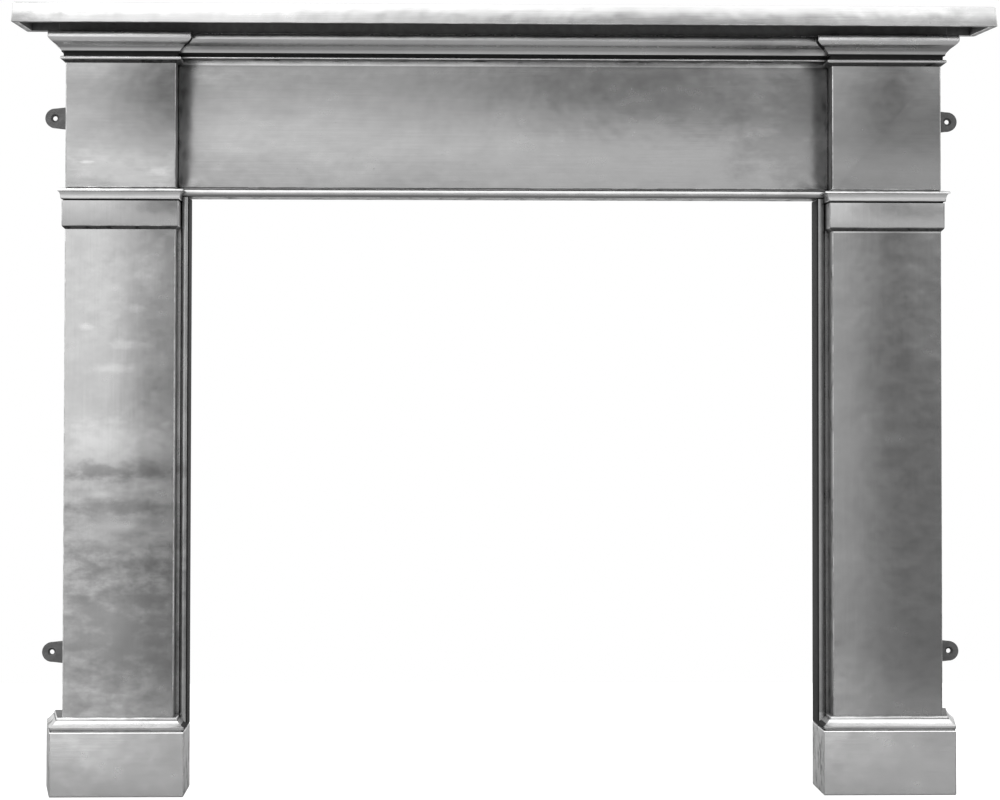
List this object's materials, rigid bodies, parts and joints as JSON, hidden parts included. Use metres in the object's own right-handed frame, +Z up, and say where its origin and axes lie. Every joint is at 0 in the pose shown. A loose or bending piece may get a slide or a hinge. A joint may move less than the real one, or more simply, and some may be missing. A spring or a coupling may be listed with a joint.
{
  "type": "fireplace surround",
  "caption": "Polished cast iron fireplace surround: hollow pilaster legs on plinths, end blocks, a plain frieze with cornice and bead moulding, and a shelf on top.",
  "frame": {"origin": "on the floor, on the centre line, halfway between the wall plane and the front of the shelf", "axes": "+X to the right seen from the front, +Y back into the wall, +Z up; the front of the surround looks along -Y"},
  "size_m": [1.368, 0.165, 1.1],
  "materials": {
    "polished_iron": "ground and polished bare iron with a satin sheen, darker in the crevices of the mouldings",
    "raw_iron": "as cast, dark and slightly rough",
    "fastener_steel": "zinc plated, dulled"
  },
  "bodies": {
    "root": {"mantel_shelf": "polished_iron", "frieze": "polished_iron", "left_leg": "polished_iron", "right_leg": "polished_iron", "left_block": "polished_iron", "right_block": "polished_iron", "left_plinth": "polished_iron", "right_plinth": "polished_iron", "left_top_wall_lug": "raw_iron", "left_low_wall_lug": "raw_iron", "right_top_wall_lug": "raw_iron", "right_low_wall_lug": "raw_iron", "left_top_lug_screw": "fastener_steel", "left_top_lug_nut": "fastener_steel", "left_low_lug_screw": "fastener_steel", "left_low_lug_nut": "fastener_steel", "right_top_lug_screw": "fastener_steel", "right_top_lug_nut": "fastener_steel", "right_low_lug_screw": "fastener_steel", "right_low_lug_nut": "fastener_steel", "left_frieze_bolt_lower": "fastener_steel", "left_frieze_bolt_upper": "fastener_steel", "left_frieze_nut_lower": "fastener_steel", "left_frieze_nut_upper": "fastener_steel", "right_frieze_bolt_lower": "fastener_steel", "right_frieze_bolt_upper": "fastener_steel", "right_frieze_nut_lower": "fastener_steel", "right_frieze_nut_upper": "fastener_steel", "left_plinth_bolt_inner": "fastener_steel", "left_plinth_bolt_outer": "fastener_steel", "left_plinth_nut_inner": "fastener_steel", "left_plinth_nut_outer": "fastener_steel", "right_plinth_bolt_inner": "fastener_steel", "right_plinth_bolt_outer": "fastener_steel", "right_plinth_nut_inner": "fastener_steel", "right_plinth_nut_outer": "fastener_steel", "left_block_bolt_inner": "fastener_steel", "left_block_bolt_outer": "fastener_steel", "left_block_nut_inner": "fastener_steel", "left_block_nut_outer": "fastener_steel", "right_block_bolt_inner": "fastener_steel", "right_block_bolt_outer": "fastener_steel", "right_block_nut_inner": "fastener_steel", "right_block_nut_outer": "fastener_steel", "left_block_shelf_bolt": "fastener_steel", "left_block_shelf_washer": "fastener_steel", "right_block_shelf_bolt": "fastener_steel", "right_block_shelf_washer": "fastener_steel", "left_frieze_shelf_bolt": "fastener_steel", "left_frieze_shelf_washer": "fastener_steel", "right_frieze_shelf_bolt": "fastener_steel", "right_frieze_shelf_washer": "fastener_steel"}
  },
  "joints": []
}
